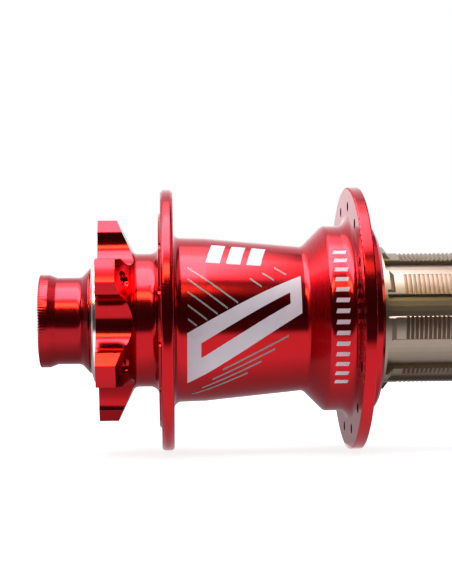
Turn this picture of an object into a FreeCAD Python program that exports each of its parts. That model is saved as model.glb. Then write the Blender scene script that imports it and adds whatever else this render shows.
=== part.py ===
import FreeCAD
import Part
import Sketcher
import math
import os

# Rear bicycle hub with a six-bolt disc mount and a splined freehub.
#
# Frame: X runs along the hub axis, the disc side at -X and the drive side at +X, +Z is up, and the
# origin is on the axle axis midway between the two dropout faces. All lengths are millimetres.

CELLS = [
    # alias, value, meaning
    ("over_locknut", 135.0, "dropout face to dropout face"),
    ("through_axle_radius", 6.05, "bore for a 12 mm through axle"),
    ("axle_radius", 8.5, "bearing seats of the axle tube"),
    ("axle_waist_radius", 9.9, "axle between the shell bearings"),
    ("axle_end_inset", 7.5, "end wall of each end cap"),
    ("cap_lip_radius", 12.2, "end cap at the dropout"),
    ("cap_lip_length", 2.4, "straight part of the lip"),
    ("cap_lip_round", 0.5, "rounded edge of both end caps"),
    ("cap_slope_end", 4.5, "end of the slope behind the lip, from the dropout face"),
    ("cap_neck_radius", 11.4, "end cap neck"),
    ("cap_flare_start", 10.7, "start of the flare, from the dropout face"),
    ("cap_flare_end", 13.1, "widest point of the flare, from the dropout face"),
    ("cap_flare_radius", 13.9, "rim of the flare"),
    ("cap_flare_round", 1.6, "hollow at the start of the flare"),
    ("cap_flare_rim", 0.12, "flat rim of the flare"),
    ("cap_nose_radius", 10.3, "nose that bears on the inner race"),
    ("cap_nose_end", 16.0, "end of the nose, from the dropout face"),
    ("drive_neck_radius", 10.6, "drive-side end cap neck"),
    ("drive_cap_length", 15.0, "drive-side end cap"),
    ("drive_cap_nose_length", 2.5, "nose of the drive-side end cap"),
    ("axle_end_round", 0.4, "rounded ends of the axle tube"),
    ("ring_groove_inset", 9.2, "O-ring groove, from the dropout face"),
    ("ring_section_radius", 0.78, "O-ring section"),
    ("ring_groove_play", 0.1, "O-ring groove, wider than the ring on each side"),
    ("lip_seal_inset", 13.7, "lip seal, from the dropout face"),
    ("lip_seal_length", 1.8, "lip seal"),
    ("lip_seal_height", 1.95, "lip seal above the cap's nose"),
    ("shield_radius", 16.5, "bearing shield"),
    ("shield_bore_radius", 12.6, "hole of the bearing shield"),
    ("shield_flat", 1.6, "flat front of the shield"),
    ("shield_slope", 0.6, "sloping front of the shield"),
    ("shield_rim", 0.4, "turned edge of the shield"),
    ("shield_round", 0.3, "rounded edge of the shield"),
    ("shield_inset", 13.4, "front of the shield, from the dropout face"),
    ("disc_face_inset", 15.25, "disc rotor face, from the dropout face"),
    ("disc_mount_radius", 26.45, "tips of the rotor arms"),
    ("disc_tip_length", 5.0, "arm thickness at the tip"),
    ("disc_back_length", 9.37, "rotor face to the foot of the tapered back"),
    ("disc_arms", 6, "rotor arms and bolts"),
    ("facet_foot_radius", 23.85, "facet of an arm where it meets the scallop"),
    ("facet_tip_radius", 28.1, "far end of a facet, outside the arm"),
    ("facet_outer_radius", 32.4, "waste between two facets"),
    ("rotor_bolt_circle_radius", 22.0, "rotor bolts"),
    ("rotor_bolt_radius", 2.1, "M5 tapping hole"),
    ("rotor_bolt_depth", 9.5, "rotor bolt hole"),
    ("scallop_circle_radius", 25.33, "centres of the scallops between the arms"),
    ("scallop_radius", 7.43, "scallops between the arms"),
    ("neck_radius", 17.57, "shell between disc mount and left flange"),
    ("left_flange_inset", 31.6, "outer face of the left flange, from the dropout face"),
    ("left_flange_boss", 0.6, "thickening of the left flange inside the spoke holes"),
    ("left_flange_boss_radius", 28.0, "edge of that thickening"),
    ("left_flange_radius", 34.4, "left flange"),
    ("left_flange_thickness", 3.2, "left flange"),
    ("left_rim_round", 1.0, "rounded rim of the left flange"),
    ("right_rim_round", 0.4, "broken edges of the right flange rim"),
    ("flange_root_round", 2.0, "root of the left flange"),
    ("neck_round", 1.6, "neck at the disc mount"),
    ("neck_flange_round", 2.4, "neck at the left flange"),
    ("right_flange_start", 13.25, "inner face of the right flange"),
    ("right_flange_radius", 34.7, "right flange"),
    ("right_flange_thickness", 3.0, "right flange"),
    ("left_spoke_circle_radius", 29.15, "spoke holes of the left flange"),
    ("right_spoke_circle_radius", 29.75, "spoke holes of the right flange"),
    ("spoke_hole_radius", 1.3, "spoke holes"),
    ("spokes_per_flange", 14, "spoke holes in one flange"),
    ("waist_left_radius", 21.72, "shell beside the left flange"),
    ("waist_start_radius", 21.5, "start of the waist's taper"),
    ("waist_start", -24.4, "start of the waist's taper"),
    ("waist_end_radius", 19.05, "thin end of the waist"),
    ("waist_end", 1.3, "foot of the cone to the drum"),
    ("drum_radius", 24.5, "drum over the ratchet"),
    ("drum_start", 6.75, "left edge of the drum"),
    ("cone_round", 1.5, "both ends of the cone"),
    ("drum_root_round", 2.8, "drum to right flange"),
    ("lip_end", 20.05, "mouth of the shell"),
    ("lip_root_radius", 24.8, "lip beside the right flange"),
    ("lip_radius", 23.4, "lip at the mouth"),
    ("lip_bevel", 0.8, "bevel at the mouth"),
    ("lip_draft", 0.3, "the lip narrows by this much towards the bevel"),
    ("lip_root_round", 0.9, "lip to right flange"),
    ("bearing_seat_radius", 15.0, "shell bearings"),
    ("shell_shoulder_radius", 13.2, "bearing shoulders in the shell"),
    ("shell_bore_radius", 15.9, "bore between the flanges"),
    ("shell_shoulder_length", 3.0, "shoulder of the drive-side bearing"),
    ("shell_bore_slope", 3.0, "slope from the shoulder to the bore"),
    ("right_bearing_start", -1.5, "drive-side shell bearing"),
    ("shell_bearing_width", 7.0, "17 x 30 x 7 bearing"),
    ("ratchet_pocket_start", 7.0, "floor of the ratchet pocket"),
    ("ratchet_radius", 20.6, "ratchet ring outside"),
    ("ratchet_start", 8.0, "ratchet ring"),
    ("ratchet_length", 8.0, "ratchet ring"),
    ("ratchet_tip_radius", 16.3, "tips of the ratchet teeth"),
    ("ratchet_root_radius", 17.9, "roots of the ratchet teeth"),
    ("ratchet_teeth", 24, "ratchet teeth"),
    ("pawl_pivot_radius", 13.55, "pawl pivots, from the hub axis"),
    ("pawl_round_radius", 1.7, "round end of a pawl"),
    ("pawl_clearance", 0.1, "pawl in its seat"),
    ("pawl_start", 9.0, "pawls"),
    ("pawl_length", 5.6, "pawls, along the axle"),
    ("pawl_side_gap", 0.2, "pawl to the walls of its pocket"),
    ("leaf_thickness", 0.2, "pawl leaf springs"),
    ("leaf_side_gap", 0.6, "pawl leaf springs, narrower than the pawl on each side"),
    ("freehub_start", 7.6, "inboard end of the freehub body"),
    ("freehub_drum_radius", 15.6, "drum that holds the pawls"),
    ("freehub_drum_end", 16.2, "drum that holds the pawls"),
    ("freehub_seal_land_radius", 17.6, "land under the mouth seal"),
    ("freehub_flange_start", 20.65, "base flange"),
    ("freehub_flange_radius", 19.0, "base flange"),
    ("freehub_flange_end", 22.4, "base flange"),
    ("freehub_slope_end", 23.9, "slope from the base flange down to the lands"),
    ("freehub_spline_radius", 17.2, "spline lands"),
    ("freehub_floor_radius", 15.8, "spline valleys"),
    ("freehub_valley_start", 21.6, "inboard end of the spline valleys"),
    ("freehub_end", 59.5, "outboard end of the freehub body"),
    ("freehub_chamfer", 0.6, "outboard end and seal land of the freehub body"),
    ("freehub_splines", 9, "spline lands"),
    ("land_angle", 20.5, "width of a spline land in degrees"),
    ("land_edge_break", 0.22, "broken edges along the lands"),
    ("groove_start", 26.8, "first ring groove on the lands"),
    ("groove_pitch", 1.15, "ring grooves"),
    ("groove_depth", 0.48, "ring grooves"),
    ("groove_count", 26, "ring grooves"),
    ("freehub_inner_bore_radius", 10.6, "freehub bore at the pawls"),
    ("freehub_bore_radius", 13.0, "freehub bearing seats"),
    ("freehub_bearing_start", 16.5, "inboard freehub bearing"),
    ("freehub_bearing_width", 5.0, "17 x 26 x 5 bearing"),
    ("shell_spacer_wall", 1.6, "spacer from shell bearing to freehub bearing"),
    ("inner_spacer_wall", 1.4, "spacer on the axle, between the freehub bearings"),
    ("outer_spacer_wall", 1.2, "spacer in the freehub bore"),
    ("outboard_bearing_start", 47.5, "outboard freehub bearing"),
    ("circlip_thickness", 1.1, "circlip"),
    ("circlip_radius", 13.9, "circlip outside"),
    ("circlip_inner_radius", 11.9, "circlip inside"),
    ("circlip_gap", 3.0, "half of the gap between the circlip's ends"),
    ("lockring_thread_radius", 14.8, "minor radius of the cassette lockring thread"),
    ("mouth_seal_start", 18.2, "freehub seal"),
    ("mouth_seal_end", 20.35, "freehub seal"),
    ("mouth_seal_play", 0.5, "seal to its land on the freehub"),
    ("mouth_seal_wall", 0.7, "seal disc"),
    ("mouth_seal_lip", 1.1, "dished inside of the seal"),
    ("shell_ball_radius", 2.0, "balls of the shell bearings"),
    ("freehub_ball_radius", 1.25, "balls of the freehub bearings"),
    ("track_play", 0.12, "balls in their tracks"),
    ("cage_play", 0.05, "balls in the cage"),
    ("bearing_seal_play", 0.15, "bearing seal to the inner race"),
    ("cut_margin", 0.5, "cutting profiles run past the material by this much"),
]


class Size:
    """A number together with the spreadsheet expression that works it out."""

    def __init__(self, value, text):
        self.value = value
        self.text = text

    def __add__(self, other):
        other = as_size(other)
        return Size(self.value + other.value, f"({self.text} + {other.text})")

    def __sub__(self, other):
        other = as_size(other)
        return Size(self.value - other.value, f"({self.text} - {other.text})")

    def __mul__(self, other):
        other = as_size(other)
        return Size(self.value * other.value, f"({self.text} * {other.text})")

    def __truediv__(self, other):
        other = as_size(other)
        return Size(self.value / other.value, f"({self.text} / {other.text})")

    def __neg__(self):
        return Size(-self.value, f"(-{self.text})")


def as_size(number):
    if isinstance(number, Size):
        return number
    return Size(float(number), f"({float(number)!r})")


class Sheet:
    """The driving dimensions: one spreadsheet cell and one Size each."""

    def __init__(self, document):
        cells = document.addObject("Spreadsheet::Sheet", "Dimensions")
        for row, (alias, value, meaning) in enumerate(CELLS, start=1):
            cells.set(f"A{row}", meaning)
            cells.set(f"B{row}", str(value))
            cells.setAlias(f"B{row}", alias)
            setattr(self, alias, Size(value, f"Dimensions.{alias}"))


doc = FreeCAD.newDocument("rear_hub")
dim = Sheet(doc)
doc.recompute()
nodes = []

DROPOUT_LEFT = -(dim.over_locknut / 2)
DROPOUT_RIGHT = dim.over_locknut / 2
DISC_FACE = DROPOUT_LEFT + dim.disc_face_inset
LEFT_FLANGE = DROPOUT_LEFT + dim.left_flange_inset
LEFT_FLANGE_INNER = LEFT_FLANGE + dim.left_flange_thickness
LEFT_BEARING = DROPOUT_LEFT + dim.cap_nose_end
RIGHT_BEARING_END = dim.right_bearing_start + dim.shell_bearing_width
RIGHT_FLANGE_OUTER = dim.right_flange_start + dim.right_flange_thickness
INBOARD_BEARING_END = dim.freehub_bearing_start + dim.freehub_bearing_width
OUTBOARD_BEARING_END = dim.outboard_bearing_start + dim.freehub_bearing_width

DISC_MOUNT_PHASE = 2.0         # degrees from +Y to the middle of the first gap between rotor arms
FACET_FOOT_ANGLE = 17.65       # degrees from the middle of a gap to the foot of a facet
FACET_TIP_ANGLE = 25.71        # the same to the far end of a facet
FACET_OUTER_ANGLE = 22.11      # the same to the corner of the waste
RIGHT_SPOKE_PHASE = 23.94      # degrees from +Y to the first hole of the right flange
SPLINE_PHASE = 29.35           # degrees from +Y to the middle of the first spline land
KEY_CUT = (218.0, 230.5)       # degrees cut off one land, so that a cassette fits one way only


# ---------------------------------------------------------------- drawing helpers

def bind(item, path, size):
    """Drive a property from the sheet."""
    item.setExpression(path, as_size(size).text)


def new_sketch(body, name, role, station=None):
    """A sketch on one of the body's own planes, moved along X to an axial station."""
    sketch = body.newObject("Sketcher::SketchObject", name)
    plane = next(item for item in body.Origin.OriginFeatures if item.Role == role)
    sketch.AttachmentSupport = [(plane, "")]
    sketch.MapMode = "FlatFace"
    if station is not None:
        bind(sketch, "AttachmentOffset.Base.z", station)
    return sketch


def hold_point(sketch, geometry, vertex, across, up):
    """Hold one point of a sketch at coordinates from the sheet."""
    for kind, size in (("DistanceX", across), ("DistanceY", up)):
        size = as_size(size)
        index = sketch.addConstraint(Sketcher.Constraint(kind, geometry, vertex, size.value))
        bind(sketch, f"Constraints[{index}]", size)


def draw_polygon(sketch, corners):
    """A closed outline through the corners."""
    points = [FreeCAD.Vector(as_size(a).value, as_size(b).value, 0) for a, b in corners]
    count = len(points)
    for i in range(count):
        sketch.addGeometry(Part.LineSegment(points[i], points[(i + 1) % count]), False)
    for i in range(count):
        sketch.addConstraint(Sketcher.Constraint("Coincident", i, 2, (i + 1) % count, 1))
    for i, (across, up) in enumerate(corners):
        hold_point(sketch, i, 1, across, up)


def draw_circle(sketch, across, up, radius):
    """A circle with its centre and radius held."""
    centre = FreeCAD.Vector(as_size(across).value, as_size(up).value, 0)
    normal = FreeCAD.Vector(0, 0, 1)
    index = sketch.addGeometry(Part.Circle(centre, normal, as_size(radius).value), False)
    hold_point(sketch, index, 3, across, up)
    held = sketch.addConstraint(Sketcher.Constraint("Radius", index, as_size(radius).value))
    bind(sketch, f"Constraints[{held}]", radius)


def polar(radius, degrees):
    """Coordinates in a cross-section (Y, Z) of a point at a radius and an angle from +Y."""
    radius = as_size(radius)
    angle = math.radians(degrees)
    return radius * math.cos(angle), radius * math.sin(angle)


# ---------------------------------------------------------------- feature helpers

def turned(name, outline, keep=True):
    """A body turned about the hub axis from an outline of (station, radius) corners."""
    body = doc.addObject("PartDesign::Body", name)
    body.Label = name
    sketch = new_sketch(body, f"{name}_outline", "XZ_Plane")
    draw_polygon(sketch, outline)
    turn = body.newObject("PartDesign::Revolution", f"{name}_turn")
    turn.Profile = sketch
    turn.ReferenceAxis = (sketch, ["H_Axis"])
    turn.Angle = 360
    if keep:
        nodes.append(body)
    return body


def ring(name, start, end, inner, outer, keep=True):
    """A plain turned ring."""
    return turned(name, [(start, inner), (start, outer), (end, outer), (end, inner)], keep)


def edge_rounds(body, name, radius, places):
    """Round the turned edges found at the given (station, radius) places."""
    doc.recompute()
    found = []
    for number, edge in enumerate(body.Shape.Edges, start=1):
        if not isinstance(edge.Curve, Part.Circle):
            continue
        for station, size in places:
            near_station = abs(edge.Curve.Center.x - as_size(station).value) < 1e-4
            if near_station and abs(edge.Curve.Radius - as_size(size).value) < 1e-4:
                found.append(f"Edge{number}")
    if len(found) != len(places):
        raise RuntimeError(f"{name}: {len(found)} edges found for {len(places)} places")
    base = body.Tip
    rounding = body.newObject("PartDesign::Fillet", name)
    rounding.Base = (base, found)
    bind(rounding, "Radius", radius)


def check_cut(body, name, before):
    """A pocket that points away from the solid removes nothing, so compare the volume."""
    doc.recompute()
    removed = before - body.Shape.Volume
    if removed < 1e-3:
        raise RuntimeError(f"{name} cuts nothing")


def cut_round(body, name, draw, start, end, count=1):
    """Cut a cross-section between two stations, repeated evenly round the hub axis."""
    doc.recompute()
    before = body.Shape.Volume
    sketch = new_sketch(body, f"{name}_sketch", "YZ_Plane", end)
    draw(sketch)
    pocket = body.newObject("PartDesign::Pocket", name)
    pocket.Profile = sketch
    bind(pocket, "Length", as_size(end) - start)
    check_cut(body, name, before)
    if as_size(count).value == 1:
        return
    pattern = body.newObject("PartDesign::PolarPattern", f"{name}_pattern")
    pattern.Originals = [pocket]
    pattern.Axis = (sketch, ["N_Axis"])
    pattern.Angle = 360
    bind(pattern, "Occurrences", count)
    body.Tip = pattern
    check_cut(body, f"{name}_pattern", before)


def groove_round(body, name, draw):
    """Turn a groove into a body; returns the feature for a pattern."""
    doc.recompute()
    before = body.Shape.Volume
    sketch = new_sketch(body, f"{name}_sketch", "XZ_Plane")
    draw(sketch)
    groove = body.newObject("PartDesign::Groove", name)
    groove.Profile = sketch
    groove.ReferenceAxis = (sketch, ["H_Axis"])
    groove.Angle = 360
    check_cut(body, name, before)
    return groove, sketch


def compound(name, parts):
    """Several separate solids in one node."""
    group = doc.addObject("Part::Compound", name)
    group.Label = name
    group.Links = parts
    nodes.append(group)
    return group


# ---------------------------------------------------------------- axle and end caps

def make_axle():
    left_end = DROPOUT_LEFT + dim.axle_end_inset
    right_end = DROPOUT_RIGHT - dim.axle_end_inset
    left_shoulder = LEFT_BEARING + dim.shell_bearing_width
    body = turned("axle", [
        (left_end, dim.through_axle_radius),
        (left_end, dim.axle_radius),
        (left_shoulder, dim.axle_radius),
        (left_shoulder, dim.axle_waist_radius),
        (dim.right_bearing_start, dim.axle_waist_radius),
        (dim.right_bearing_start, dim.axle_radius),
        (right_end, dim.axle_radius),
        (right_end, dim.through_axle_radius),
    ])
    edge_rounds(body, "axle_end_rounds", dim.axle_end_round, [
        (left_end, dim.axle_radius),
        (right_end, dim.axle_radius),
    ])


def ring_groove(body, name, station):
    """Groove inside an end cap for its O-ring, with the ring's centre at the station."""
    half = dim.ring_section_radius + dim.ring_groove_play
    deep = dim.axle_radius + dim.ring_section_radius * 2 + dim.ring_groove_play / 2
    inside = dim.axle_radius - dim.cut_margin

    def draw(sketch):
        draw_polygon(sketch, [
            (station - half, inside),
            (station - half, deep),
            (station + half, deep),
            (station + half, inside),
        ])

    groove_round(body, name, draw)


def make_disc_side_cap():
    def at(distance):
        return DROPOUT_LEFT + distance

    body = turned("disc_side_end_cap", [
        (DROPOUT_LEFT, dim.through_axle_radius),
        (DROPOUT_LEFT, dim.cap_lip_radius),
        (at(dim.cap_lip_length), dim.cap_lip_radius),
        (at(dim.cap_slope_end), dim.cap_neck_radius),
        (at(dim.cap_flare_start), dim.cap_neck_radius),
        (at(dim.cap_flare_end) - dim.cap_flare_rim, dim.cap_flare_radius),
        (at(dim.cap_flare_end), dim.cap_flare_radius),
        (at(dim.cap_flare_end), dim.cap_nose_radius),
        (at(dim.cap_nose_end), dim.cap_nose_radius),
        (at(dim.cap_nose_end), dim.axle_radius),
        (at(dim.axle_end_inset), dim.axle_radius),
        (at(dim.axle_end_inset), dim.through_axle_radius),
    ])
    edge_rounds(body, "disc_cap_lip_rounds", dim.cap_lip_round, [(DROPOUT_LEFT, dim.cap_lip_radius)])
    edge_rounds(body, "disc_cap_flare_round", dim.cap_flare_round, [
        (at(dim.cap_flare_start), dim.cap_neck_radius),
    ])
    ring_groove(body, "disc_cap_ring_groove", at(dim.ring_groove_inset))


def make_drive_side_cap():
    def at(distance):
        return DROPOUT_RIGHT - distance

    nose_end = at(dim.drive_cap_length)
    body = turned("drive_side_end_cap", [
        (DROPOUT_RIGHT, dim.through_axle_radius),
        (DROPOUT_RIGHT, dim.cap_lip_radius),
        (at(dim.cap_lip_length), dim.cap_lip_radius),
        (at(dim.cap_slope_end), dim.drive_neck_radius),
        (nose_end + dim.drive_cap_nose_length, dim.drive_neck_radius),
        (nose_end + dim.drive_cap_nose_length, dim.axle_waist_radius),
        (nose_end, dim.axle_waist_radius),
        (nose_end, dim.axle_radius),
        (at(dim.axle_end_inset), dim.axle_radius),
        (at(dim.axle_end_inset), dim.through_axle_radius),
    ])
    edge_rounds(body, "drive_cap_lip_rounds", dim.cap_lip_round, [(DROPOUT_RIGHT, dim.cap_lip_radius)])
    ring_groove(body, "drive_cap_ring_groove", at(dim.ring_groove_inset))


def make_o_ring(name, station):
    torus = doc.addObject("Part::Torus", name)
    torus.Label = name
    bind(torus, "Radius1", dim.axle_radius + dim.ring_section_radius)
    bind(torus, "Radius2", dim.ring_section_radius)
    torus.Placement = FreeCAD.Placement(FreeCAD.Vector(), FreeCAD.Rotation(FreeCAD.Vector(0, 1, 0), 90))
    bind(torus, "Placement.Base.x", station)
    nodes.append(torus)


def make_lip_seal():
    """Rubber V-ring on the nose of the disc-side cap, inside the shield."""
    start = DROPOUT_LEFT + dim.lip_seal_inset
    end = start + dim.lip_seal_length
    half_height = dim.cap_nose_radius + dim.lip_seal_height / 2
    full_height = dim.cap_nose_radius + dim.lip_seal_height
    turned("disc_side_lip_seal", [
        (start, dim.cap_nose_radius),
        (start, half_height),
        (start + dim.lip_seal_length * 0.28, full_height),
        (start + dim.lip_seal_length * 0.55, full_height),
        (end, half_height),
        (end, dim.cap_nose_radius),
    ])


# ---------------------------------------------------------------- shell

def make_shell():
    disc_back = DISC_FACE + dim.disc_back_length
    boss_face = LEFT_FLANGE - dim.left_flange_boss
    left_shoulder = LEFT_BEARING + dim.shell_bearing_width
    shoulder_end = dim.right_bearing_start - dim.shell_shoulder_length
    body = turned("hub_shell", [
        (DISC_FACE, dim.bearing_seat_radius),
        (DISC_FACE, dim.disc_mount_radius),
        (DISC_FACE + dim.disc_tip_length, dim.disc_mount_radius),
        (disc_back, dim.neck_radius),
        (boss_face, dim.neck_radius),
        (boss_face, dim.left_flange_boss_radius),
        (LEFT_FLANGE, dim.left_flange_boss_radius + dim.left_flange_boss),
        (LEFT_FLANGE, dim.left_flange_radius),
        (LEFT_FLANGE_INNER, dim.left_flange_radius),
        (LEFT_FLANGE_INNER, dim.waist_left_radius),
        (dim.waist_start, dim.waist_start_radius),
        (dim.waist_end, dim.waist_end_radius),
        (dim.drum_start, dim.drum_radius),
        (dim.right_flange_start, dim.drum_radius),
        (dim.right_flange_start, dim.right_flange_radius),
        (RIGHT_FLANGE_OUTER, dim.right_flange_radius),
        (RIGHT_FLANGE_OUTER, dim.lip_root_radius),
        (dim.lip_end - dim.lip_bevel, dim.lip_root_radius - dim.lip_draft),
        (dim.lip_end, dim.lip_radius),
        (dim.lip_end, dim.ratchet_radius),
        (dim.ratchet_pocket_start, dim.ratchet_radius),
        (dim.ratchet_pocket_start, dim.bearing_seat_radius),
        (dim.right_bearing_start, dim.bearing_seat_radius),
        (dim.right_bearing_start, dim.shell_shoulder_radius),
        (shoulder_end, dim.shell_shoulder_radius),
        (shoulder_end - dim.shell_bore_slope, dim.shell_bore_radius),
        (LEFT_FLANGE_INNER, dim.shell_bore_radius),
        (LEFT_FLANGE, dim.shell_shoulder_radius),
        (left_shoulder, dim.shell_shoulder_radius),
        (left_shoulder, dim.bearing_seat_radius),
    ])
    edge_rounds(body, "left_rim_rounds", dim.left_rim_round, [
        (LEFT_FLANGE, dim.left_flange_radius),
        (LEFT_FLANGE_INNER, dim.left_flange_radius),
    ])
    edge_rounds(body, "right_rim_rounds", dim.right_rim_round, [
        (dim.right_flange_start, dim.right_flange_radius),
        (RIGHT_FLANGE_OUTER, dim.right_flange_radius),
    ])
    edge_rounds(body, "neck_disc_round", dim.neck_round, [
        (disc_back, dim.neck_radius),
    ])
    edge_rounds(body, "neck_flange_round", dim.neck_flange_round, [
        (boss_face, dim.neck_radius),
    ])
    edge_rounds(body, "left_flange_root_round", dim.flange_root_round, [
        (LEFT_FLANGE_INNER, dim.waist_left_radius),
    ])
    edge_rounds(body, "cone_rounds", dim.cone_round, [
        (dim.waist_end, dim.waist_end_radius),
        (dim.drum_start, dim.drum_radius),
    ])
    edge_rounds(body, "right_flange_root_round", dim.drum_root_round, [
        (dim.right_flange_start, dim.drum_radius),
    ])
    edge_rounds(body, "lip_root_rounding", dim.lip_root_round, [(RIGHT_FLANGE_OUTER, dim.lip_root_radius)])
    cut_disc_arms(body)
    cut_spoke_holes(body)


def cut_disc_arms(body):
    """Scallops and corner facets that leave the six arms, then the rotor bolt holes."""
    start = DISC_FACE - dim.cut_margin
    end = DISC_FACE + dim.disc_back_length + dim.neck_round

    def scallop(sketch):
        across, up = polar(dim.scallop_circle_radius, DISC_MOUNT_PHASE)
        draw_circle(sketch, across, up, dim.scallop_radius)

    def corner_facets(sketch):
        # The facets of two neighbouring arms, drawn about the middle of the gap between them.
        side = [
            (dim.facet_foot_radius, FACET_FOOT_ANGLE),
            (dim.facet_tip_radius, FACET_TIP_ANGLE),
            (dim.facet_outer_radius, FACET_OUTER_ANGLE),
        ]
        mirrored = [(radius, -angle) for radius, angle in reversed(side)]
        draw_polygon(sketch, [polar(radius, DISC_MOUNT_PHASE + angle) for radius, angle in side + mirrored])

    def bolt(sketch):
        across, up = polar(dim.rotor_bolt_circle_radius, DISC_MOUNT_PHASE + 180.0 / dim.disc_arms.value)
        draw_circle(sketch, across, up, dim.rotor_bolt_radius)

    cut_round(body, "scallops", scallop, start, end, dim.disc_arms)
    cut_round(body, "facets", corner_facets, start, end, dim.disc_arms)
    cut_round(body, "rotor_bolts", bolt, start, DISC_FACE + dim.rotor_bolt_depth, dim.disc_arms)


def cut_spoke_holes(body):
    half_pitch = 180.0 / dim.spokes_per_flange.value
    rows = [
        ("left_spokes", LEFT_FLANGE - dim.left_flange_boss, LEFT_FLANGE_INNER,
         dim.left_spoke_circle_radius, RIGHT_SPOKE_PHASE + half_pitch),
        ("right_spokes", dim.right_flange_start, RIGHT_FLANGE_OUTER,
         dim.right_spoke_circle_radius, RIGHT_SPOKE_PHASE),
    ]
    for name, start, end, circle, phase in rows:
        def hole(sketch, radius=circle, angle=phase):
            across, up = polar(radius, angle)
            draw_circle(sketch, across, up, dim.spoke_hole_radius)

        cut_round(body, name, hole, start - dim.cut_margin, end + dim.cut_margin, dim.spokes_per_flange)


def make_shield():
    """Polished ring that covers the disc-side bearing and turns with the shell."""
    front = DROPOUT_LEFT + dim.shield_inset
    shoulder = front + dim.shield_slope
    edge = dim.shield_radius - dim.shield_rim
    body = turned("disc_side_bearing_shield", [
        (front, dim.shield_bore_radius),
        (front, dim.shield_bore_radius + dim.shield_flat),
        (shoulder, edge),
        (shoulder + dim.shield_rim, dim.shield_radius),
        (DISC_FACE, dim.shield_radius),
        (DISC_FACE, dim.bearing_seat_radius),
        (LEFT_BEARING, dim.bearing_seat_radius),
        (LEFT_BEARING, dim.shield_bore_radius),
    ])
    edge_rounds(body, "shield_rounding", dim.shield_round, [(shoulder, edge)])


# ---------------------------------------------------------------- bearings

LAND_SHARE = 0.57              # race shoulders, from the ball circle, as a share of the ball radius
CAGE_WIDTH_SHARE = 1.22        # half width of a cage, as a share of the ball radius
CAGE_HEIGHT_SHARE = 0.26       # half height of a cage, as a share of the ball radius
SEAL_WIDTH_SHARE = 0.06        # seal thickness, as a share of the bearing width
SEAL_INSET_SHARE = 0.03        # seal below the end of the races, as a share of the bearing width
SHELL_BALLS = 10
FREEHUB_BALLS = 14


def make_bearing(name, start, width, inner, outer, ball_radius, ball_count):
    """Deep-groove ball bearing: two races, balls, cage and two seals."""
    middle = start + width / 2
    end = start + width
    ball_circle = (inner + outer) / 2
    land = ball_radius * LAND_SHARE
    inner_land = ball_circle - land
    outer_land = ball_circle + land

    def track(sketch):
        draw_circle(sketch, middle, ball_circle, ball_radius + dim.track_play)

    inner_race = ring(f"{name}_inner_race", start, end, inner, inner_land)
    groove_round(inner_race, f"{name}_inner_track", track)
    outer_race = ring(f"{name}_outer_race", start, end, outer_land, outer)
    groove_round(outer_race, f"{name}_outer_track", track)

    balls = []
    pockets = []
    for i in range(ball_count):
        across, up = polar(ball_circle, 360.0 * i / ball_count)
        for radius, made in ((ball_radius, balls), (ball_radius + dim.cage_play, pockets)):
            sphere = doc.addObject("Part::Sphere", f"{name}_sphere")
            bind(sphere, "Radius", radius)
            bind(sphere, "Placement.Base.x", middle)
            bind(sphere, "Placement.Base.y", across)
            bind(sphere, "Placement.Base.z", up)
            made.append(sphere)
    compound(f"{name}_balls", balls)

    half_width = ball_radius * CAGE_WIDTH_SHARE
    half_height = ball_radius * CAGE_HEIGHT_SHARE
    blank = ring(f"{name}_cage_blank", middle - half_width, middle + half_width,
                 ball_circle - half_height, ball_circle + half_height, keep=False)
    pocket_group = doc.addObject("Part::MultiFuse", f"{name}_cage_pockets")
    pocket_group.Shapes = pockets
    cage = doc.addObject("Part::Cut", f"{name}_cage")
    cage.Label = f"{name}_cage"
    cage.Base = blank
    cage.Tool = pocket_group
    nodes.append(cage)

    seal_width = width * SEAL_WIDTH_SHARE
    seal_inset = width * SEAL_INSET_SHARE
    seal_inner = inner_land + dim.bearing_seal_play
    seals = [
        ring(f"{name}_seal_left", start + seal_inset, start + seal_inset + seal_width,
             seal_inner, outer_land, keep=False),
        ring(f"{name}_seal_right", end - seal_inset - seal_width, end - seal_inset,
             seal_inner, outer_land, keep=False),
    ]
    compound(f"{name}_seals", seals)


def make_bearings():
    shell_rows = [("disc_side_bearing", LEFT_BEARING), ("drive_side_bearing", dim.right_bearing_start)]
    for name, start in shell_rows:
        make_bearing(name, start, dim.shell_bearing_width, dim.axle_radius, dim.bearing_seat_radius,
                     dim.shell_ball_radius, SHELL_BALLS)
    freehub_rows = [
        ("freehub_inboard_bearing", dim.freehub_bearing_start),
        ("freehub_outboard_bearing", dim.outboard_bearing_start),
    ]
    for name, start in freehub_rows:
        make_bearing(name, start, dim.freehub_bearing_width, dim.axle_radius, dim.freehub_bore_radius,
                     dim.freehub_ball_radius, FREEHUB_BALLS)


def make_spacers():
    ring("shell_to_freehub_spacer", RIGHT_BEARING_END, dim.freehub_bearing_start,
         dim.axle_radius, dim.axle_radius + dim.shell_spacer_wall)
    ring("freehub_inner_spacer", INBOARD_BEARING_END, dim.outboard_bearing_start,
         dim.axle_radius, dim.axle_radius + dim.inner_spacer_wall)
    ring("freehub_outer_spacer", INBOARD_BEARING_END, dim.outboard_bearing_start,
         dim.freehub_bore_radius - dim.outer_spacer_wall, dim.freehub_bore_radius)


# ---------------------------------------------------------------- ratchet and pawls

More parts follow.
